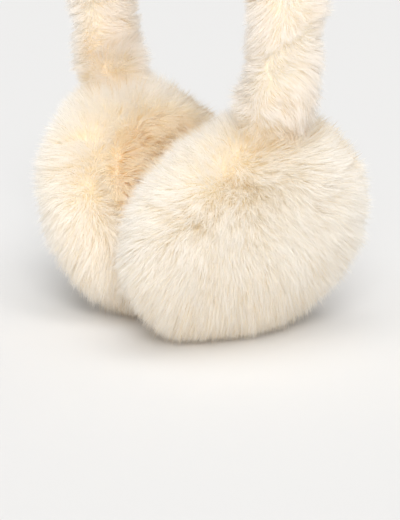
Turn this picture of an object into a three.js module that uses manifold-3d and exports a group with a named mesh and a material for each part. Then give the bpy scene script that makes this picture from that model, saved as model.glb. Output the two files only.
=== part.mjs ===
// Fur earmuffs: a sprung headband in a fur sleeve, and a deep-fur ear pad with a plush lining at each end.
// Millimetres, +Z up. +X is the wearer's left-hand pad. The origin is under the middle, on the resting plane.
// The deep fur has no strands here: each solid is the outer form that the tips of its hairs make.
import * as THREE from "three";
import { mergeVertices } from "three/addons/utils/BufferGeometryUtils.js";
import Module from "manifold-3d";

const wasm = await Module();
wasm.setup();

// Ear pads: thick round pads, leaning outwards at the top and turned slightly to the front.
const PAD_RADIUS = 60;
const PAD_DEPTH = 56;
const PAD_ROUNDNESS = 2.1; // exponent of the rounded section: 2 is an ellipse, more is boxier
const PAD_SPREAD = 80; // between the two pad centres
const PAD_HEIGHT = 52; // pad centre above the resting plane
const PAD_TILT = THREE.MathUtils.degToRad(25);
const PAD_YAW = THREE.MathUtils.degToRad(7);

// Lining: the short-pile face that lies on the ear, set on the pad's inner side.
const LINING_RADIUS = 35;
const LINING_THICKNESS = 5.5;
const LINING_EDGE = 3.5; // radius of the rounded rim
const LINING_SEAT = 8.5; // how far the pad's inner side is cut back to seat it
const SEAT_GAP = 0.3;

// Headband: a fur sleeve, wide from front to back and thinner across the head.
const BAND_WIDTH = 37;
const BAND_THICKNESS = 25;
const BAND_SPREAD = 142; // between the upright stretches, centre to centre
const BAND_SHOULDER_HEIGHT = 145; // where the arch begins
const BAND_CROWN_HEIGHT = 203; // middle of the sleeve at the top
const BAND_ROOT_DEPTH = 12; // how far its end runs into the pad before it is cut away
const ROOT_GAP = 0.4;

// Fineness of the faceted surfaces.
const PAD_SIDES = 44;
const PAD_RINGS = 22;
const LINING_SIDES = 40;
const EDGE_STEPS = 5;
const SECTION_SIDES = 22;
const BAND_STEPS = 46;

// A quarter of an ellipse as one cubic curve: the handle length that fits it best.
const QUARTER_HANDLE = 0.5523;

function material(color, roughness) {
  return new THREE.MeshStandardMaterial({ color, roughness, metalness: 0 });
}

function toSolid(geometry) {
  const bare = geometry.clone();
  bare.deleteAttribute("normal");
  bare.deleteAttribute("uv");
  const merged = mergeVertices(bare, 1e-4);
  return new wasm.Manifold(
    new wasm.Mesh({
      numProp: 3,
      vertProperties: new Float32Array(merged.attributes.position.array),
      triVerts: new Uint32Array(merged.index.array),
    }),
  );
}

function toGeometry(solid) {
  const mesh = solid.getMesh();
  const geometry = new THREE.BufferGeometry();
  geometry.setAttribute("position", new THREE.BufferAttribute(mesh.vertProperties, 3));
  geometry.setIndex(new THREE.BufferAttribute(mesh.triVerts, 1));
  geometry.computeVertexNormals();
  return geometry;
}

// A lathe turns about Y. This lays its axis along X, towards +X.
function latheAlongX(profile, sides) {
  return new THREE.LatheGeometry(profile, sides).rotateZ(-Math.PI / 2);
}

// The fur's outer form: a disc with a superellipse section, grown by a margin where one is given.
function padForm(margin = 0) {
  const profile = [];
  for (let i = 0; i <= PAD_RINGS; i += 1) {
    const angle = Math.PI * (i / PAD_RINGS - 0.5);
    const around = Math.cos(angle) ** (2 / PAD_ROUNDNESS);
    const along = Math.sign(angle) * Math.abs(Math.sin(angle)) ** (2 / PAD_ROUNDNESS);
    const radius = i % PAD_RINGS === 0 ? 0 : (PAD_RADIUS + margin) * around;
    profile.push(new THREE.Vector2(radius, (PAD_DEPTH / 2 + margin) * along));
  }
  return latheAlongX(profile, PAD_SIDES);
}

// A box that fills everything beyond a plane, on the far side along one axis.
function halfSpace(size, x, y, z) {
  return new THREE.BoxGeometry(size, size, size).translate(x, y, z);
}

// The pad: its form, cut flat where it stands and where the lining is seated.
function padGeometry(side, toWorld) {
  const reach = 4 * PAD_RADIUS;
  const floor = halfSpace(reach, 0, 0, -reach / 2).applyMatrix4(toWorld.clone().invert());
  const seatPlane = PAD_DEPTH / 2 - LINING_SEAT;
  const seat = halfSpace(reach, -side * (seatPlane + reach / 2), 0, 0);
  return toGeometry(toSolid(padForm()).subtract(toSolid(floor)).subtract(toSolid(seat)));
}

// The lining: a thin round cushion with a flat face and a rounded rim, facing the ear.
function liningGeometry(side) {
  const profile = [new THREE.Vector2(0, 0), new THREE.Vector2(LINING_RADIUS, 0)];
  for (let i = 0; i <= EDGE_STEPS; i += 1) {
    const angle = (Math.PI / 2) * (i / EDGE_STEPS);
    const radius = LINING_RADIUS - LINING_EDGE * (1 - Math.cos(angle));
    const height = LINING_THICKNESS - LINING_EDGE * (1 - Math.sin(angle));
    profile.push(new THREE.Vector2(radius, height));
  }
  profile.push(new THREE.Vector2(0, LINING_THICKNESS));
  const disc = latheAlongX(profile, LINING_SIDES);
  if (side > 0) {
    disc.rotateY(Math.PI);
  }
  return disc.translate(-side * (PAD_DEPTH / 2 - LINING_SEAT + SEAT_GAP), 0, 0);
}

// One half of the band's middle line: out of the pad, upright, then over to the crown.
function bandCurves(padFrame, side) {
  const rim = new THREE.Vector3(0, 0, PAD_RADIUS).applyMatrix4(padFrame);
  const start = new THREE.Vector3(0, 0, PAD_RADIUS - BAND_ROOT_DEPTH).applyMatrix4(padFrame);
  const plane = rim.y;
  start.y = plane;
  rim.y = plane;
  const shoulder = new THREE.Vector3((side * BAND_SPREAD) / 2, plane, BAND_SHOULDER_HEIGHT);
  const crown = new THREE.Vector3(0, plane, BAND_CROWN_HEIGHT);
  const outwards = rim.clone().sub(start).multiplyScalar(1.2);
  const rise = (BAND_SHOULDER_HEIGHT - rim.z) / 2;
  const arch = BAND_CROWN_HEIGHT - BAND_SHOULDER_HEIGHT;
  return [
    new THREE.CubicBezierCurve3(
      start,
      start.clone().add(outwards),
      shoulder.clone().add(new THREE.Vector3(0, 0, -rise)),
      shoulder,
    ),
    new THREE.CubicBezierCurve3(
      shoulder,
      shoulder.clone().add(new THREE.Vector3(0, 0, QUARTER_HANDLE * arch)),
      crown.clone().add(new THREE.Vector3((side * QUARTER_HANDLE * BAND_SPREAD) / 2, 0, 0)),
      crown,
    ),
  ];
}

function reversed(curve) {
  return new THREE.CubicBezierCurve3(curve.v3, curve.v2, curve.v1, curve.v0);
}

// The band: an elliptical sleeve along its middle line, cut to the pads at both ends.
function bandGeometry(frames) {
  const [rightRoot, rightArch] = bandCurves(frames.right, 1);
  const [leftRoot, leftArch] = bandCurves(frames.left, -1);
  const route = new THREE.CurvePath();
  route.add(rightRoot);
  route.add(rightArch);
  route.add(reversed(leftArch));
  route.add(reversed(leftRoot));
  const section = new THREE.Shape();
  section.absellipse(0, 0, BAND_WIDTH / 2, BAND_THICKNESS / 2, 0, 2 * Math.PI);
  const sleeve = new THREE.ExtrudeGeometry(section, {
    steps: BAND_STEPS,
    curveSegments: SECTION_SIDES,
    bevelEnabled: false,
    extrudePath: route,
  });
  let solid = toSolid(sleeve);
  for (const frame of Object.values(frames)) {
    solid = solid.subtract(toSolid(padForm(ROOT_GAP).applyMatrix4(frame)));
  }
  return toGeometry(solid);
}

const earmuffs = new THREE.Group();
const frames = {};
const SIDES = [
  { name: "right", sign: 1 },
  { name: "left", sign: -1 },
];
for (const { name, sign } of SIDES) {
  const pad = new THREE.Group();
  pad.position.set((sign * PAD_SPREAD) / 2, 0, PAD_HEIGHT);
  pad.rotation.set(0, sign * PAD_TILT, -sign * PAD_YAW, "ZYX");
  pad.updateMatrixWorld();
  frames[name] = pad.matrixWorld.clone();

  const fur = new THREE.Mesh(padGeometry(sign, frames[name]), material(0xf6e9d4, 0.95));
  fur.name = `ear_pad_${name}`;
  const lining = new THREE.Mesh(liningGeometry(sign), material(0xd9c7a8, 0.95));
  lining.name = `ear_lining_${name}`;
  pad.add(fur, lining);
  earmuffs.add(pad);
}
const headband = new THREE.Mesh(bandGeometry(frames), material(0xf2e4cc, 0.95));
headband.name = "headband";
earmuffs.add(headband);

export default earmuffs;
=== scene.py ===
import math

import bpy
import numpy as np
from mathutils import Matrix, Vector, kdtree


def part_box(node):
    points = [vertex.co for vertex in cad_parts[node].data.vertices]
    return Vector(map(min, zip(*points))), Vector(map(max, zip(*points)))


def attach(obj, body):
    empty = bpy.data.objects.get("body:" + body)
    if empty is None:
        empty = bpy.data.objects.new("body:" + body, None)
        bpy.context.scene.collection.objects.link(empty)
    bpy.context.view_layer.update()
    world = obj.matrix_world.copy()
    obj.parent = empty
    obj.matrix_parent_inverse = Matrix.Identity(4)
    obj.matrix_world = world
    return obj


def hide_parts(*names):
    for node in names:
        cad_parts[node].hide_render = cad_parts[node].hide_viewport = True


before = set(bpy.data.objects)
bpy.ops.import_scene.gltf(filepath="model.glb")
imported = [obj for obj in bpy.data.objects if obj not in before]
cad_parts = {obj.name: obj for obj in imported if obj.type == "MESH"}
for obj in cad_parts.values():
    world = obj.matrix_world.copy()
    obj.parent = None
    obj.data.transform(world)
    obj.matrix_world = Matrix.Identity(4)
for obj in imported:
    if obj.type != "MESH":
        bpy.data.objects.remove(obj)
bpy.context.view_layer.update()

# Fur earmuffs: two thick long-fur ear pads with plush linings, on a sprung band in a fur sleeve.
# Metres, +Z up. "right" is the pad at +X. Every hair is a slim tapered blade of mesh, lying in tufts.

MM = 0.001
SIDES = (("right", 1), ("left", -1))

# Driving sizes of the pads and the band, the same as the solid model's.
PAD_RADIUS = 60 * MM
PAD_HALF_DEPTH = 28 * MM
PAD_ROUNDNESS = 2.1
PAD_TILT = math.radians(25)
PAD_YAW = math.radians(7)
LINING_RADIUS = 35 * MM
LINING_SEAT = 8.5 * MM  # how far in from the pad's inner pole the lining is seated
LINING_THICKNESS = 5.5 * MM
BAND_HALF_WIDTH = 18.5 * MM
BAND_HALF_THICKNESS = 12.5 * MM
SHOULDER_HEIGHT = 145 * MM
ROOT_DEPTH = 12 * MM
QUARTER_HANDLE = 0.5523  # handle of the one cubic that draws a quarter ellipse

# How deep each pile is, and how the backings sit in it.
PAD_PILE = 10 * MM
BAND_PILE = 6.5 * MM
PLUSH_PILE = 10 * MM
UNDERCOAT = 1.5 * MM  # the pad's backing reaches this far up into its pile
SLEEVE_UNDERCOAT = 1 * MM  # and the band's into its own
LINING_INSET = 1 * MM  # the lining's cushion stays this far inside the lining's own form
FLOOR_GAP = 0.4 * MM  # between the pads' backing and the floor

# Hairs are drawn about ten times as thick as real acrylic fibre, so that they show and fewer fill the pile.
LONG_HAIR_WIDTH = 0.27 * MM
BAND_HAIR_WIDTH = 0.23 * MM
OUTER_PANEL_HAIRS = 62000
INNER_PANEL_HAIRS = 52000
LINING_HAIRS = 26000
HALF_BAND_HAIRS = 40000

# Tufts and the smaller locks: hairs in each, and the least and most that a hair is drawn to its leader.
PAD_TUFTS = (70, 0.0, 0.2)
PAD_LOCKS = (8, 0.0, 0.4)
BAND_TUFTS = (110, 0.0, 0.5)
BAND_LOCKS = (8, 0.0, 0.45)
PLUSH_LOCKS = (9, 0.1, 0.55)


# ---------------------------------------------------------------- camera, lights and floor

CAMERA_AZIMUTH = math.radians(54.95)
CAMERA_ELEVATION = math.radians(15.8)
CAMERA_DISTANCE = 0.700
CAMERA_LENS = 104.0
CAMERA_SENSOR = 36.0
AIM_HEIGHT = 28.9 * MM
AIM_ASIDE = 3.1 * MM


def toward(azimuth, elevation):
    """The direction from the object to a place round it, azimuth 0 being the front."""
    flat = math.cos(elevation)
    return Vector((math.sin(azimuth) * flat, -math.cos(azimuth) * flat, math.sin(elevation)))


def make_camera():
    data = bpy.data.cameras.new("studio_camera")
    data.lens = CAMERA_LENS
    data.sensor_width = CAMERA_SENSOR
    data.clip_start = 0.01
    data.clip_end = 50
    camera = bpy.data.objects.new("studio_camera", data)
    bpy.context.scene.collection.objects.link(camera)
    back = toward(CAMERA_AZIMUTH, CAMERA_ELEVATION)
    aside = Vector((math.cos(CAMERA_AZIMUTH), math.sin(CAMERA_AZIMUTH), 0))
    aim = Vector((0, 0, AIM_HEIGHT)) + AIM_ASIDE * aside
    camera.location = aim + CAMERA_DISTANCE * back
    camera.rotation_mode = "QUATERNION"
    camera.rotation_quaternion = back.to_track_quat("Z", "Y")
    bpy.context.scene.camera = camera


def linear(hex_colour):
    """An sRGB hex colour as linear numbers with an alpha of 1."""
    channels = [int(hex_colour[i : i + 2], 16) / 255 for i in (1, 3, 5)]
    return [c / 12.92 if c <= 0.04045 else ((c + 0.055) / 1.055) ** 2.4 for c in channels] + [1.0]


def add_node(material, kind, settings=(), links=()):
    """Adds a shader node. Settings name its properties or input sockets, links say what feeds them."""
    tree = material.node_tree
    node = tree.nodes.new(kind)
    for name, value in dict(settings).items():
        if isinstance(name, str) and hasattr(node, name):
            setattr(node, name, value)
        else:
            node.inputs[name].default_value = value
    for name, (source, output) in dict(links).items():
        tree.links.new(source.outputs[output], node.inputs[name])
    return node


def new_material(name):
    material = bpy.data.materials.new(name)
    material.use_nodes = True
    material.node_tree.nodes.clear()
    return material


def finish_material(material, shader):
    output = add_node(material, "ShaderNodeOutputMaterial")
    material.node_tree.links.new(shader.outputs[0], output.inputs["Surface"])
    return material


def ramp(material, stops, factor, output=0):
    """A colour ramp through (position, hex colour) stops."""
    node = add_node(material, "ShaderNodeValToRGB", links={"Fac": (factor, output)})
    band = node.color_ramp
    while len(band.elements) < len(stops):
        band.elements.new(0.5)
    for element, (position, colour) in zip(band.elements, stops):
        element.position = position
        element.color = linear(colour)
    return node


# Name, azimuth and elevation of where it stands in degrees, strength, softness in degrees, colour.
LIGHTS = (
    ("key_front", 56, 33, 2.1, 28, "#fffefe"),
    ("overhead", 55, 70, 1.22, 45, "#fffefe"),
    ("side_right", 112, 60, 0.18, 22, "#fffefd"),
)
WORLD_STRENGTH = 0.34
WORLD_COLOUR = "#ffffff"
LIGHT_BOUNCES = 40  # white fur is bright inside, because light goes from hair to hair many times
FLOOR_SIDE = 80.0
FLOOR_COLOUR = "#e5e5e4"


def light_studio():
    for name, azimuth, elevation, strength, softness, colour in LIGHTS:
        data = bpy.data.lights.new(name, "SUN")
        data.energy = strength
        data.angle = math.radians(softness)
        data.color = linear(colour)[:3]
        light = bpy.data.objects.new(name, data)
        bpy.context.scene.collection.objects.link(light)
        light.rotation_mode = "QUATERNION"
        place = toward(math.radians(azimuth), math.radians(elevation))
        light.rotation_quaternion = place.to_track_quat("Z", "Y")
    world = bpy.data.worlds.new("studio_world")
    bpy.context.scene.world = world
    world.use_nodes = True
    background = world.node_tree.nodes["Background"]
    background.inputs["Color"].default_value = linear(WORLD_COLOUR)
    background.inputs["Strength"].default_value = WORLD_STRENGTH
    bpy.context.scene.view_settings.view_transform = "Standard"
    bpy.context.scene.cycles.max_bounces = LIGHT_BOUNCES
    bpy.context.scene.cycles.diffuse_bounces = LIGHT_BOUNCES
    bpy.context.scene.cycles.transmission_bounces = LIGHT_BOUNCES


def lay_floor():
    bpy.ops.object.select_all(action="DESELECT")
    bpy.ops.mesh.primitive_plane_add(size=FLOOR_SIDE)
    floor = bpy.context.active_object
    floor.name = "studio_floor"
    paper = new_material("matt_studio_paper")
    shader = add_node(
        paper,
        "ShaderNodeBsdfPrincipled",
        {"Base Color": linear(FLOOR_COLOUR), "Roughness": 0.95, "Specular IOR Level": 0.1},
    )
    floor.data.materials.append(finish_material(paper, shader))


# ---------------------------------------------------------------- materials

FUR_MAP = "OFBake"  # along: 0 at the root of a hair and 1 at its tip; across: its tone, deep to pale
LIGHT_THROUGH = 0.5  # share of the light that a pale fibre lets through, which makes deep pile glow
NAP_GRAIN = 3 * MM
NAP_HEIGHT = 1.2 * MM


def faux_fur(name, along, tones):
    """Acrylic faux fur, fine soft fibres: matt, each hair a touch warmer and deeper at its root than at its
    bright tip, a painted shade of the pile's depth.
    """
    fur = new_material(name)
    places = add_node(fur, "ShaderNodeUVMap", {"uv_map": FUR_MAP})
    split = add_node(fur, "ShaderNodeSeparateXYZ", links={"Vector": (places, "UV")})
    length_colour = ramp(fur, along, split, "X")
    tone_colour = ramp(fur, tones, split, "Y")
    mixed = add_node(
        fur,
        "ShaderNodeMix",
        {"data_type": "RGBA", "blend_type": "MULTIPLY", 0: 1.0},
        {6: (length_colour, "Color"), 7: (tone_colour, "Color")},
    )
    shader = add_node(
        fur,
        "ShaderNodeBsdfPrincipled",
        {"Roughness": 0.75, "Specular IOR Level": 0.25},
        {"Base Color": (mixed, 2)},
    )
    glow = add_node(fur, "ShaderNodeBsdfTranslucent", links={"Color": (mixed, 2)})
    fibre = add_node(fur, "ShaderNodeMixShader", {0: LIGHT_THROUGH}, {1: (shader, 0), 2: (glow, 0)})
    return finish_material(fur, fibre)


def knitted_backing(name, pale, deep):
    """The dense undercoat over a knitted backing: a short woolly nap that shows as warm depth."""
    backing = new_material(name)
    places = add_node(backing, "ShaderNodeTexCoord")
    nap = add_node(
        backing,
        "ShaderNodeTexNoise",
        {"Scale": 1 / NAP_GRAIN, "Detail": 6.0, "Roughness": 0.65},
        {"Vector": (places, "Object")},
    )
    colour = ramp(backing, ((0.3, deep), (0.7, pale)), nap, "Fac")
    bump = add_node(
        backing,
        "ShaderNodeBump",
        {"Strength": 0.6, "Distance": NAP_HEIGHT},
        {"Height": (nap, "Fac")},
    )
    shader = add_node(
        backing,
        "ShaderNodeBsdfPrincipled",
        {"Roughness": 0.9, "Specular IOR Level": 0.1, "Sheen Weight": 0.2},
        {"Base Color": (colour, "Color"), "Normal": (bump, "Normal")},
    )
    return finish_material(backing, shader)


# ---------------------------------------------------------------- shapes shared by backing and fur


def pad_axes(side):
    """A pad's outward, backward and upward directions, as the columns of a matrix."""
    out = (
        math.cos(PAD_YAW) * math.cos(PAD_TILT),
        -math.sin(PAD_YAW) * math.cos(PAD_TILT),
        -math.sin(PAD_TILT),
    )
    back = (math.sin(PAD_YAW), math.cos(PAD_YAW), 0)
    up = (
        math.cos(PAD_YAW) * math.sin(PAD_TILT),
        -math.sin(PAD_YAW) * math.sin(PAD_TILT),
        math.cos(PAD_TILT),
    )
    axes = np.array((out, back, up)).T
    axes[0] *= side
    return axes


def pad_centre(side, name):
    """The middle of a pad: half way across its box, and down from its top by its own reach."""
    low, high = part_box(f"ear_pad_{name}")
    out, _, up = pad_axes(side)[2]
    angle = np.linspace(0, 2 * math.pi, 721)
    power = 2 / PAD_ROUNDNESS
    along = PAD_HALF_DEPTH * np.sign(np.sin(angle)) * np.abs(np.sin(angle)) ** power
    around = PAD_RADIUS * np.sign(np.cos(angle)) * np.abs(np.cos(angle)) ** power
    reach = float((along * out + around * up).max())
    return np.array(((low.x + high.x) / 2, (low.y + high.y) / 2, high.z - reach))


def unit(vectors):
    return vectors / np.maximum(np.linalg.norm(vectors, axis=1, keepdims=True), 1e-12)


def pad_surface(rng, count, inset, out_from, out_to):
    """Even random points and normals on the pad's form, set in from it, in the pad's own axes.

    Only the part between two shares of the half depth is covered, -1 being the inner pole.
    """
    radius = PAD_RADIUS - inset
    half = PAD_HALF_DEPTH - inset
    angle = np.linspace(-math.pi / 2, math.pi / 2, 2001)
    power = 2 / PAD_ROUNDNESS
    along = half * np.sign(angle) * np.abs(np.sin(angle)) ** power
    around = radius * np.cos(angle).clip(0) ** power
    keep = (along >= out_from * half) & (along <= out_to * half)
    along, around = along[keep], around[keep]
    step = np.hypot(np.diff(along), np.diff(around)) * (around[1:] + around[:-1]) / 2
    total = np.concatenate(([0], np.cumsum(step)))
    spot = rng.uniform(0, total[-1], count)
    along = np.interp(spot, total, along)
    around = np.interp(spot, total, around)
    turn = rng.uniform(0, 2 * math.pi, count)
    points = np.stack((along, around * np.sin(turn), around * np.cos(turn)), 1)
    steep = PAD_ROUNDNESS - 1
    slope_out = np.sign(along) * np.abs(along / half) ** steep / half
    slope_round = (around / radius) ** steep / radius
    normals = np.stack((slope_out, slope_round * np.sin(turn), slope_round * np.cos(turn)), 1)
    return points, unit(normals)


def ripples(rng, points, wavelength, waves=12):
    """Smooth random numbers, about -1 to 1, that vary over the given distance."""
    heading = unit(rng.normal(size=(waves, 3))) * 2 * math.pi / wavelength
    heading *= rng.uniform(0.6, 1.4, (waves, 1))
    phase = rng.uniform(0, 2 * math.pi, waves)
    return np.sin(points @ heading.T + phase).sum(1) / math.sqrt(waves / 2) * 0.7


def ripple_vectors(rng, points, wavelength):
    return np.stack([ripples(rng, points, wavelength) for _ in range(3)], 1)


def ease(values, start, end):
    """0 at the start, 1 at the end, straight between them and level beyond."""
    return ((values - start) / (end - start)).clip(0, 1)


def along_surface(vectors, normals):
    """The part of each vector that lies in the surface."""
    return vectors - (vectors * normals).sum(1, keepdims=True) * normals


# ---------------------------------------------------------------- hairs


MIDDLE_FOLLOWS = 0.4  # how much of a tip's way into its tuft the middle of the hair goes


def gather(roots, mids, tips, rng, tufts):
    """Draws the hairs into tufts: each leans towards the tip of the nearest leader hair."""
    hairs, least, most = tufts
    count = max(int(len(roots) / hairs), 2)
    leaders = rng.choice(len(roots), count, replace=False)
    tree = kdtree.KDTree(count)
    for place, leader in enumerate(leaders):
        tree.insert(roots[leader], place)
    tree.balance()
    nearest = np.array([leaders[tree.find(root)[1]] for root in roots])
    share = rng.uniform(least, most, (len(roots), 1))
    tips = tips + share * (tips[nearest] - tips)
    mids = mids + MIDDLE_FOLLOWS * share * (mids[nearest] - mids)
    return mids, tips, nearest


BLADE_POINTS = 5  # two at the root, two at the middle, one at the tip
BLADE_CORNERS = (0, 1, 3, 2, 2, 3, 4)  # a quad from root to middle, then a triangle to the tip
BLADE_FACES = (0, 4)  # where in the corners each of the two faces starts
MIDDLE_WIDTH = 0.84  # of the width at the root
WIDTH_SPREAD = (0.7, 1.3)
BLADE_TWIST = 0.45  # how much the blades turn their faces away from the surface
MAP_MARGIN = 0.01
MAP_HALF_WIDTH = 0.004  # every blade is this wide in its map, so that none is a bare line


def hair_mesh(name, rng, roots, mids, tips, normals, width, tone, material):
    """Joins all the hairs into one mesh of slim blades, with its fur map."""
    count = len(roots)
    course = unit(tips - roots)
    facing = unit(normals + rng.normal(0, BLADE_TWIST, (count, 3)))
    across = unit(np.cross(course, facing))
    size = width * rng.uniform(*WIDTH_SPREAD, (count, 1))
    low = across * size * 0.5
    high = low * MIDDLE_WIDTH
    points = np.stack((roots - low, roots + low, mids - high, mids + high, tips), 1)
    flip = (np.cross(points[:, 1] - points[:, 0], points[:, 2] - points[:, 0]) * normals).sum(1) < 0
    points[flip] = points[flip][:, [1, 0, 3, 2, 4]]

    mesh = bpy.data.meshes.new(name)
    mesh.vertices.add(count * BLADE_POINTS)
    mesh.vertices.foreach_set("co", points.astype(np.float32).ravel())
    corners = np.array(BLADE_CORNERS)
    loops = (np.arange(count)[:, None] * BLADE_POINTS + corners).ravel()
    mesh.loops.add(len(loops))
    mesh.loops.foreach_set("vertex_index", loops.astype(np.int32))
    starts = (np.arange(count)[:, None] * len(corners) + np.array(BLADE_FACES)).ravel()
    mesh.polygons.add(len(starts))
    mesh.polygons.foreach_set("loop_start", starts.astype(np.int32))
    mesh.polygons.foreach_set("use_smooth", np.ones(len(starts), bool))
    mesh.update(calc_edges=True)

    along = np.array((0, 0, 0.5, 0.5, 1.0))
    aside = np.array((-1, 1, -1, 1, 0)) * MAP_HALF_WIDTH
    places = np.empty((count, BLADE_POINTS, 2))
    places[:, :, 0] = MAP_MARGIN + (1 - 2 * MAP_MARGIN) * along
    places[:, :, 1] = tone.clip(2 * MAP_MARGIN, 1 - 2 * MAP_MARGIN)[:, None] + aside
    layer = mesh.uv_layers.new(name=FUR_MAP)
    layer.uv.foreach_set("vector", places[:, corners].astype(np.float32).ravel())

    mesh.materials.append(material)
    piece = bpy.data.objects.new(name, mesh)
    bpy.context.scene.collection.objects.link(piece)
    return piece


LOWEST_HAIR = 0.2 * MM
LYING_HAIR = (0.1, 0.9)  # millimetres over the floor


def rest_on_floor(rng, points):
    """Hairs that would go through the floor are bent to lie on it."""
    low = points[:, 2] < LOWEST_HAIR
    points[low, 2] = rng.uniform(*LYING_HAIR, low.sum()) * MM
    return points


# ---------------------------------------------------------------- the pads' fur

WHORL = (0, -1 * MM, 9 * MM)  # where a pad's nap parts in all directions, in the pad's own axes
WHORL_SPREAD = 16 * MM
PARTINGS = 14  # small partings in the upper nap of a pad, each drawn from the ranges below
PARTING_ASIDE = (-44, 44)  # millimetres, as the next four are
PARTING_HALF_LENGTH = (4, 8)
PARTING_SLANT = (-1.5, 1.5)
PARTING_HEIGHT = (12, 46)
PARTING_HALF_WIDTH = (1.0, 1.5)
PARTING_STRENGTH = (0.3, 0.65)
PARTING_OPENS = 0.22  # how far the hairs beside a parting lean away from it
ROOT_SUNK = 0.5 * MM  # how far under the pile's foot each hair starts
BACK_PAINTED_SHADE = 0.45  # painted shade: how much deeper the fur is drawn high at a pad's back, where little light reaches
FLOOR_PAINTED_SHADE = 0.6  # and how much deeper the painted shade makes it next to the floor
LOW_PAINTED_SHADE = 0.24  # painted shade over the whole lower half of a pad, which gets less light
# painted shade in the partings, where the pile opens onto its shaded depth
PARTING_PAINTED_SHADE = 0.35
# painted shade in the crease where the band meets a pad
UNDER_BAND_PAINTED_SHADE = 0.2

# Where on its tones each pile lies, 0 being the deepest and 1 the palest.
PAD_TONE = 0.66
BAND_TONE = 0.62
PLUSH_TONE = 0.5


def parting_depth(rng, points):
    """How deep in a parting each root lies, 0 to 1, and the way the pile opens there."""
    depth = np.zeros(len(points))
    opening = np.zeros((len(points), 3))
    for _ in range(PARTINGS):
        aside = points[:, 1] - rng.uniform(*PARTING_ASIDE) * MM
        aside = aside / (rng.uniform(*PARTING_HALF_LENGTH) * MM)
        slant = rng.uniform(*PARTING_SLANT) * MM
        above = points[:, 2] - rng.uniform(*PARTING_HEIGHT) * MM - slant * aside
        above = above / (rng.uniform(*PARTING_HALF_WIDTH) * MM)
        strength = rng.uniform(*PARTING_STRENGTH)
        reach = np.exp(-(aside**4))
        depth = np.maximum(depth, strength * reach * np.exp(-(above**2)))
        opening[:, 2] += PARTING_OPENS * strength * reach * np.exp(-((above / 3) ** 2)) * np.sign(above)
    return depth, opening


def painted_shade(points, height):
    """Painted shade on a pad's fur, deeper and tanner: high at its back on the ear side, where little light
    reaches, and next to the floor.

    Points are in the pad's own axes, and height is over the floor.
    """
    back = ease(points[:, 1], 8 * MM, 30 * MM)
    high = ease(points[:, 2], -5 * MM, 15 * MM)
    ear_side = ease(points[:, 0], 6 * MM, -4 * MM)
    near_floor = ease(height, 14 * MM, 5 * MM)
    return np.maximum(BACK_PAINTED_SHADE * back * high * ear_side, FLOOR_PAINTED_SHADE * near_floor)


def brushed_nap(rng, points, normals, down, low, near_seat, opening):
    """How far the tip of each hair is brushed aside: downwards, away from the whorl, a little unruly.

    Weights are set against the 1 of a hair that stands straight off the backing.
    """
    combed = along_surface(np.tile(down, (len(points), 1)), normals)
    outward = along_surface((points - WHORL) / PAD_RADIUS * (0, 1, 1), normals)
    waves = along_surface(ripple_vectors(rng, points, 22 * MM), normals)
    curls = along_surface(ripple_vectors(rng, points, 9 * MM), normals)
    at_whorl = np.exp(-(((points - WHORL)[:, 1:] / WHORL_SPREAD) ** 2).sum(1))[:, None]
    comb_weight = 0.25 + 0.75 * low
    outward_weight = 0.85 - 1.7 * near_seat  # inward where the pile closes round the lining
    wave_weight = 0.16 - 0.08 * low
    curl_weight = 0.13 - 0.07 * low
    unruly_weight = 0.19 + 0.25 * at_whorl
    lean = comb_weight * combed + outward_weight * outward + wave_weight * waves + curl_weight * curls
    lean += along_surface(opening, normals)
    return lean + unruly_weight * rng.normal(size=(len(points), 3))


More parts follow.
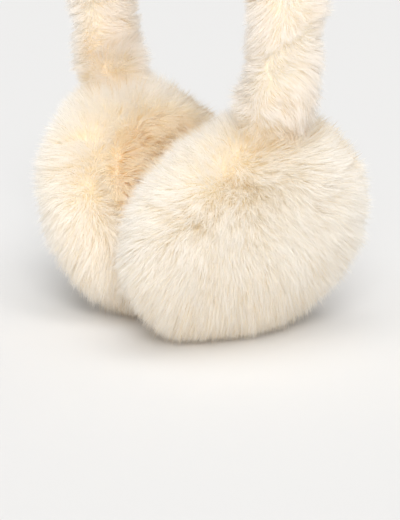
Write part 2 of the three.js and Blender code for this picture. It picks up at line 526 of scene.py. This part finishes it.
def pad_fur(name, side, side_name, seed, count, out_from, out_to, material):
    """Fur on one panel of a pad. The pile stands off the backing and its nap is brushed downwards."""
    rng = np.random.default_rng(seed)
    axes = pad_axes(side)
    centre = pad_centre(side, side_name)
    points, normals = pad_surface(rng, count, PAD_PILE, out_from, out_to)
    over_middle = points @ axes[2]
    height = over_middle + centre[2]
    depth, opening = parting_depth(rng, points)
    low = ease(over_middle, 10 * MM, -40 * MM)
    from_axis = np.hypot(points[:, 1], points[:, 2])
    near_seat = ease(from_axis, LINING_RADIUS + 8.75 * MM, LINING_RADIUS - 0.25 * MM) * (points[:, 0] < 0)
    under_band = np.exp(-((points[:, 1] / (20 * MM)) ** 4)) * (points[:, 2] > 0.6 * PAD_RADIUS)
    down = -axes[2]  # world down, in the pad's axes
    lean = brushed_nap(rng, points, normals, down, low[:, None], near_seat[:, None], opening)
    lean *= 1 - 0.4 * under_band[:, None]

    pile = PAD_PILE * (1 + 0.05 * ripples(rng, points, 20 * MM) + rng.uniform(-0.16, 0.14, count))
    pile *= (1 - 0.40 * depth) * (1 + 0.5 * near_seat)
    pile *= 1 + 0.3 * under_band
    pile *= 1 + 0.5 * ease(height, 16 * MM, 0)  # the lowest pile splays out over the floor

    roots = points - ROOT_SUNK * normals
    mids = points + pile[:, None] * (0.58 * normals + 0.34 * lean)
    tips = points + pile[:, None] * (normals + 0.95 * lean)
    under_lining = (points[:, 0] < -0.3 * PAD_HALF_DEPTH) & (from_axis < LINING_RADIUS - 2 * MM)
    keep = ~under_lining
    roots, mids, tips, normals = roots[keep], mids[keep], tips[keep], normals[keep]
    mids, tips, tuft = gather(roots, mids, tips, rng, PAD_TUFTS)
    mids, tips, lock = gather(roots, mids, tips, rng, PAD_LOCKS)

    tuft_tone = rng.normal(0, 0.03, count)[tuft] + rng.normal(0, 0.05, count)[lock]
    # Tone varies at random by tuft, lock and hair; the rest is painted shade: deeper in partings, in the
    # crease under the band, over the lower half, high at the back on the ear side and next to the floor.
    tone = PAD_TONE + tuft_tone + rng.normal(0, 0.12, len(roots)) - PARTING_PAINTED_SHADE * depth[keep]
    tone -= UNDER_BAND_PAINTED_SHADE * under_band[keep] * (roots[:, 2] > 0.76 * PAD_RADIUS)
    tone -= LOW_PAINTED_SHADE * low[keep] + painted_shade(roots, height[keep])
    roots, mids, tips = (p @ axes.T + centre for p in (roots, mids, tips))
    normals = normals @ axes.T
    mids = rest_on_floor(rng, mids)
    tips = rest_on_floor(rng, tips)
    roots = rest_on_floor(rng, roots)
    piece = hair_mesh(name, rng, roots, mids, tips, normals, LONG_HAIR_WIDTH, tone, material)
    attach(piece, "root")
    return piece


# ---------------------------------------------------------------- the band's and the linings' fur


def band_route(side):
    """Half of the band's middle line as two cubics: out of the pad to the shoulder, then to the crown."""
    name = "right" if side > 0 else "left"
    centre = pad_centre(side, name)
    up = pad_axes(side)[:, 2]
    low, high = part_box("headband")
    rim = centre + PAD_RADIUS * up
    start = centre + (PAD_RADIUS - ROOT_DEPTH) * up
    plane = (low.y + high.y) / 2
    rim[1] = plane
    start[1] = plane
    shoulder = np.array((side * (high.x - BAND_HALF_THICKNESS), plane, SHOULDER_HEIGHT))
    crown = np.array((0, plane, high.z - BAND_HALF_THICKNESS))
    rise = (SHOULDER_HEIGHT - rim[2]) / 2
    arch = crown[2] - SHOULDER_HEIGHT
    root_curve = (start, start + 1.2 * (rim - start), shoulder - (0, 0, rise), shoulder)
    arch_curve = (
        shoulder,
        shoulder + (0, 0, QUARTER_HANDLE * arch),
        crown + (QUARTER_HANDLE * shoulder[0], 0, 0),
        crown,
    )
    return root_curve, arch_curve


def cubic(curve, t):
    a, b, c, d = (np.asarray(p) for p in curve)
    t = t[:, None]
    return (1 - t) ** 3 * a + 3 * (1 - t) ** 2 * t * b + 3 * (1 - t) * t**2 * c + t**3 * d


def band_line(side):
    """Closely spaced points on half of the band's middle line, with their distance along it."""
    root_curve, arch_curve = band_route(side)
    t = np.linspace(0, 1, 200)
    line = np.concatenate((cubic(root_curve, t)[:-1], cubic(arch_curve, t)))
    gone = np.concatenate(([0], np.cumsum(np.linalg.norm(np.diff(line, axis=0), axis=1))))
    return line, gone


def band_fur(name, side, seed, count, material):
    """Fur on half of the sleeve: shorter, in tufts that burst open in all directions."""
    rng = np.random.default_rng(seed)
    line, gone = band_line(side)
    spot = rng.uniform(ROOT_DEPTH - 4 * MM, gone[-1] + 1 * MM, count).clip(0, gone[-1])
    middle = np.stack([np.interp(spot, gone, line[:, k]) for k in range(3)], 1)
    slope = np.gradient(line, gone, axis=0)
    course = unit(np.stack([np.interp(spot, gone, slope[:, k]) for k in range(3)], 1))
    across = np.tile((0.0, 1.0, 0.0), (count, 1))
    outer = unit(np.cross(across, course)) * side
    turn = rng.uniform(0, 2 * math.pi, count)
    wide = BAND_HALF_WIDTH - BAND_PILE
    thick = BAND_HALF_THICKNESS - BAND_PILE
    c, s = np.cos(turn)[:, None], np.sin(turn)[:, None]
    points = middle + wide * c * across + thick * s * outer
    normals = unit(c / wide * across + s / thick * outer)
    to_pad = along_surface(-course, normals)
    waves = along_surface(ripple_vectors(rng, points, 26 * MM), normals)
    curls = along_surface(ripple_vectors(rng, points, 9 * MM), normals)
    lean = 0.30 * to_pad + 0.72 * waves + 0.22 * curls
    near_root = np.exp(-(((spot - ROOT_DEPTH) / (14 * MM)) ** 2))[:, None]
    lean += 0.1 * near_root * to_pad
    lean += 0.20 * rng.normal(size=(count, 3))
    pile = 1.15 + 0.35 * near_root[:, 0] + 0.10 * ripples(rng, points, 16 * MM)
    pile = BAND_PILE * (pile + rng.uniform(-0.18, 0.08, count))
    tucked = ease(spot, ROOT_DEPTH + 6 * MM, ROOT_DEPTH + 1 * MM)  # short where it meets the pad
    pile *= 1 - 0.25 * tucked
    pile *= 1 + 0.9 * near_root[:, 0] * (-s[:, 0]).clip(0, 1)  # fuller on the ear side of the root
    roots = points - ROOT_SUNK * normals
    mids = points + pile[:, None] * (0.55 * normals + 0.24 * lean)
    tips = points + pile[:, None] * (normals + 0.70 * lean)
    mids, tips, tuft = gather(roots, mids, tips, rng, BAND_TUFTS)
    mids, tips, lock = gather(roots, mids, tips, rng, BAND_LOCKS)
    tone = BAND_TONE + rng.normal(0, 0.05, count)[tuft] + rng.normal(0, 0.05, count)[lock]
    # The tucked term is painted shade: the band's fur is drawn a little deeper where it meets the pad.
    tone += rng.normal(0, 0.10, count) - 0.12 * tucked
    piece = hair_mesh(name, rng, roots, mids, tips, normals, BAND_HAIR_WIDTH, tone, material)
    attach(piece, "root")
    return piece


def plush_pile(name, side, side_name, seed, count, material):
    """The dense plush on a lining's face and its rounded rim, combed downwards."""
    rng = np.random.default_rng(seed)
    axes = pad_axes(side)
    centre = pad_centre(side, side_name)
    radius = LINING_RADIUS * np.sqrt(rng.uniform(0, 1, count))
    turn = rng.uniform(0, 2 * math.pi, count)
    face = -(PAD_HALF_DEPTH - LINING_SEAT + LINING_THICKNESS - LINING_INSET)
    rim = ease(radius, LINING_RADIUS - 4 * MM, LINING_RADIUS)
    face = face - 5 * MM * (1 - (radius / LINING_RADIUS) ** 2)
    points = np.stack((face + 3 * MM * rim**2, radius * np.sin(turn), radius * np.cos(turn)), 1)
    tilt = 1.1 * rim
    normals = np.stack((-np.cos(tilt), np.sin(tilt) * np.sin(turn), np.sin(tilt) * np.cos(turn)), 1)
    combed = along_surface(np.tile(-axes[2], (count, 1)), normals)
    lean = 0.5 * combed + 0.35 * along_surface(ripple_vectors(rng, points, 14 * MM), normals)
    lean += 0.2 * rng.normal(size=(count, 3))
    roots = points - 0.3 * MM * normals
    mids = points + PLUSH_PILE * (0.55 * normals + 0.3 * lean)
    tips = points + PLUSH_PILE * (normals + 0.8 * lean)
    mids, tips, lock = gather(roots, mids, tips, rng, PLUSH_LOCKS)
    tone = PLUSH_TONE + rng.normal(0, 0.08, count)[lock] + rng.normal(0, 0.1, count)
    roots, mids, tips = (p @ axes.T + centre for p in (roots, mids, tips))
    normals = normals @ axes.T
    piece = hair_mesh(name, rng, roots, mids, tips, normals, LONG_HAIR_WIDTH, tone, material)
    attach(piece, "root")
    return piece


# ---------------------------------------------------------------- backings, modelled from primitives


def pad_matrix(side, side_name):
    matrix = Matrix(pad_axes(side).tolist()).to_4x4()
    matrix.translation = Vector(pad_centre(side, side_name).tolist())
    return matrix


def settle(piece, matrix):
    """Puts a piece in its place and leaves that place in its mesh, with its faces outwards."""
    piece.data.transform(matrix)
    bpy.ops.object.mode_set(mode="EDIT")
    bpy.ops.mesh.select_all(action="SELECT")
    bpy.ops.mesh.normals_make_consistent(inside=False)
    bpy.ops.object.mode_set(mode="OBJECT")


def apply_modifiers(piece):
    for modifier in list(piece.modifiers):
        bpy.ops.object.modifier_apply(modifier=modifier.name)


def roughen(piece, name, grain, height):
    """Gives a backing the low lumps of packed pile."""
    clouds = bpy.data.textures.new(name, "CLOUDS")
    clouds.noise_scale = grain
    lumps = piece.modifiers.new(name, "DISPLACE")
    lumps.texture = clouds
    lumps.texture_coords = "GLOBAL"
    lumps.strength = height
    lumps.mid_level = 0.5


def pad_backing(side, side_name, material):
    """The stuffed pad under the fur: a thick round cushion, flat where it stands and at its seat."""
    bpy.ops.object.select_all(action="DESELECT")
    bpy.ops.mesh.primitive_uv_sphere_add(segments=72, ring_count=40, radius=1)
    piece = bpy.context.active_object
    piece.name = f"pad_backing_{side_name}"
    inset = PAD_PILE - UNDERCOAT
    radius = PAD_RADIUS - inset
    bpy.ops.object.mode_set(mode="EDIT")
    bpy.ops.transform.resize(value=(PAD_HALF_DEPTH - inset, radius, radius))
    seat = -(PAD_HALF_DEPTH - LINING_SEAT - 0.5 * MM)
    bpy.ops.mesh.bisect(plane_co=(seat, 0, 0), plane_no=(-1, 0, 0), clear_outer=True, use_fill=True)
    bpy.ops.object.mode_set(mode="OBJECT")
    roughen(piece, f"pad_lumps_{side_name}", 12 * MM, 1.2 * MM)
    apply_modifiers(piece)
    settle(piece, pad_matrix(side, side_name))
    bpy.ops.object.mode_set(mode="EDIT")
    bpy.ops.mesh.select_all(action="SELECT")
    bpy.ops.mesh.bisect(plane_co=(0, 0, FLOOR_GAP), plane_no=(0, 0, -1), clear_outer=True, use_fill=True)
    bpy.ops.object.mode_set(mode="OBJECT")
    bpy.ops.object.shade_smooth_by_angle(angle=math.radians(40))
    piece.data.materials.append(material)
    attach(piece, "root")
    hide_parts(f"ear_pad_{side_name}")


def lining_cushion(side, side_name, material):
    """The lining under its pile: a thin round cushion with a rounded, stitched-down rim."""
    bpy.ops.object.select_all(action="DESELECT")
    depth = LINING_THICKNESS - LINING_INSET
    bpy.ops.mesh.primitive_cylinder_add(
        vertices=72,
        radius=LINING_RADIUS - LINING_INSET,
        depth=depth,
        end_fill_type="NGON",
        location=(0, 0, depth / 2),
    )
    piece = bpy.context.active_object
    piece.name = f"lining_cushion_{side_name}"
    bpy.ops.object.transform_apply(location=True)
    bpy.ops.object.mode_set(mode="EDIT")
    bpy.ops.mesh.select_all(action="DESELECT")
    bpy.ops.object.mode_set(mode="OBJECT")
    for edge in piece.data.edges:
        heights = [piece.data.vertices[v].co.z for v in edge.vertices]
        edge.select = min(heights) > depth * 0.9
    bpy.ops.object.mode_set(mode="EDIT")
    bpy.ops.mesh.select_mode(type="EDGE")
    bpy.ops.mesh.bevel(offset=2.6 * MM, segments=5, affect="EDGES")
    bpy.ops.mesh.select_all(action="DESELECT")
    bpy.ops.object.mode_set(mode="OBJECT")
    for face in piece.data.polygons:
        face.select = face.center.z > depth * 0.98
    bpy.ops.object.mode_set(mode="EDIT")
    for _ in range(3):
        bpy.ops.mesh.inset(thickness=7 * MM)
    bpy.ops.object.mode_set(mode="OBJECT")
    turn = Matrix.Rotation(-math.pi / 2, 4, "Y")
    seat = Matrix.Translation((-(PAD_HALF_DEPTH - LINING_SEAT + 0.3 * MM), 0, 0))
    settle(piece, pad_matrix(side, side_name) @ seat @ turn)
    bpy.ops.object.shade_smooth_by_angle(angle=math.radians(35))
    piece.data.materials.append(material)
    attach(piece, "root")
    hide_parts(f"ear_lining_{side_name}")


def band_sleeve(material):
    """The sleeve under its fur: one padded tube that follows the sprung strip from pad to pad."""
    right = band_route(1)
    left = band_route(-1)
    knots = [right[0][0], right[0][3], right[1][3], left[0][3], left[0][0]]
    before = [right[0][0], right[0][2], right[1][2], left[1][1], left[0][1]]
    after = [right[0][1], right[1][1], left[1][2], left[0][2], left[0][0]]
    bpy.ops.object.select_all(action="DESELECT")
    bpy.ops.curve.primitive_bezier_circle_add(radius=1)
    section = bpy.context.active_object
    half_width = BAND_HALF_WIDTH - BAND_PILE + SLEEVE_UNDERCOAT
    half_thickness = BAND_HALF_THICKNESS - BAND_PILE + SLEEVE_UNDERCOAT
    section.scale = (half_width, half_thickness, 1)
    bpy.ops.object.transform_apply(scale=True)
    section.data.resolution_u = 10
    bpy.ops.object.select_all(action="DESELECT")
    bpy.ops.curve.primitive_bezier_curve_add()
    sleeve = bpy.context.active_object
    spline = sleeve.data.splines[0]
    spline.bezier_points.add(len(knots) - 2)
    for point, knot, handle_in, handle_out in zip(spline.bezier_points, knots, before, after):
        point.handle_left_type = "FREE"
        point.handle_right_type = "FREE"
        point.co = knot
        point.handle_left = handle_in
        point.handle_right = handle_out
    spline.resolution_u = 16
    sleeve.data.dimensions = "3D"
    sleeve.data.twist_mode = "MINIMUM"
    sleeve.data.bevel_mode = "OBJECT"
    sleeve.data.bevel_object = section
    sleeve.data.use_fill_caps = True
    bpy.ops.object.convert(target="MESH")
    bpy.data.objects.remove(section)
    piece = bpy.context.active_object
    piece.name = "band_sleeve"
    bpy.ops.object.mode_set(mode="EDIT")
    bpy.ops.mesh.select_all(action="SELECT")
    bpy.ops.mesh.remove_doubles(threshold=0.05 * MM)
    bpy.ops.object.mode_set(mode="OBJECT")
    roughen(piece, "sleeve_lumps", 9 * MM, 1.2 * MM)
    apply_modifiers(piece)
    settle(piece, Matrix.Identity(4))
    bpy.ops.object.shade_smooth_by_angle(angle=math.radians(50))
    piece.data.materials.append(material)
    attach(piece, "root")
    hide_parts("headband")


# ---------------------------------------------------------------- the earmuffs

make_camera()
light_studio()
lay_floor()

# Light that goes from fibre to fibre takes up colour each time, so cream fur has almost white fibres.
# The tan first stop is painted shade, which the pads' fur and a little of the band's is drawn towards; the
# paler stops are the fibres' own tone.
FUR_TONES_AND_PAINTED_SHADE = ((0.0, "#cdac78"), (0.3, "#fcf7ea"), (0.5, "#fefdfb"), (1.0, "#ffffff"))
BACKING_COLOURS = ("#fdf9ee", "#fbf2de")

# Long, soft and cream white: bright where the pile is full; painted shade makes it tan in its partings,
# under the band, high at a pad's back, over its lower half and near the floor.
pad_fur_finish = faux_fur(
    "long_acrylic_faux_fur",
    ((0.0, "#fdfbf5"), (0.4, "#fefdfb"), (0.8, "#fefdfb"), (1.0, "#fefdfb")),
    FUR_TONES_AND_PAINTED_SHADE,
)
# Shorter and in loose tufts: a shade deeper, so that the band stands apart from the pads.
band_fur_finish = faux_fur(
    "tufted_acrylic_faux_fur",
    ((0.0, "#fcf9f2"), (0.4, "#fdfbf8"), (0.8, "#fdfbf9"), (1.0, "#fdfcfa")),
    FUR_TONES_AND_PAINTED_SHADE,
)
# Even and warm: a smoother cream that shows where a lining faces the ear.
plush_finish = faux_fur(
    "short_polyester_plush",
    ((0.0, "#fcf6e8"), (0.5, "#fdfaf3"), (1.0, "#fefcf8")),
    ((0.0, "#f9edd2"), (0.5, "#fefcf6"), (1.0, "#ffffff")),
)
undercoat = knitted_backing("woolly_undercoat", *BACKING_COLOURS)
plush_backing = knitted_backing("plush_backing", *BACKING_COLOURS)

for side_name, side in SIDES:
    pad_backing(side, side_name, undercoat)
    lining_cushion(side, side_name, plush_backing)
    seed = 10 if side > 0 else 20
    for panel, hairs, panel_seed, out_from, out_to in (
        ("outer", OUTER_PANEL_HAIRS, seed, 0.0, 1.0),
        ("inner", INNER_PANEL_HAIRS, seed + 1, -1.0, 0.0),
    ):
        name = f"pad_fur_{panel}_{side_name}"
        pad_fur(name, side, side_name, panel_seed, hairs, out_from, out_to, pad_fur_finish)
    plush_pile(f"lining_pile_{side_name}", side, side_name, seed + 2, LINING_HAIRS, plush_finish)
    band_fur(f"band_fur_{side_name}", side, seed + 3, HALF_BAND_HAIRS, band_fur_finish)
band_sleeve(undercoat)
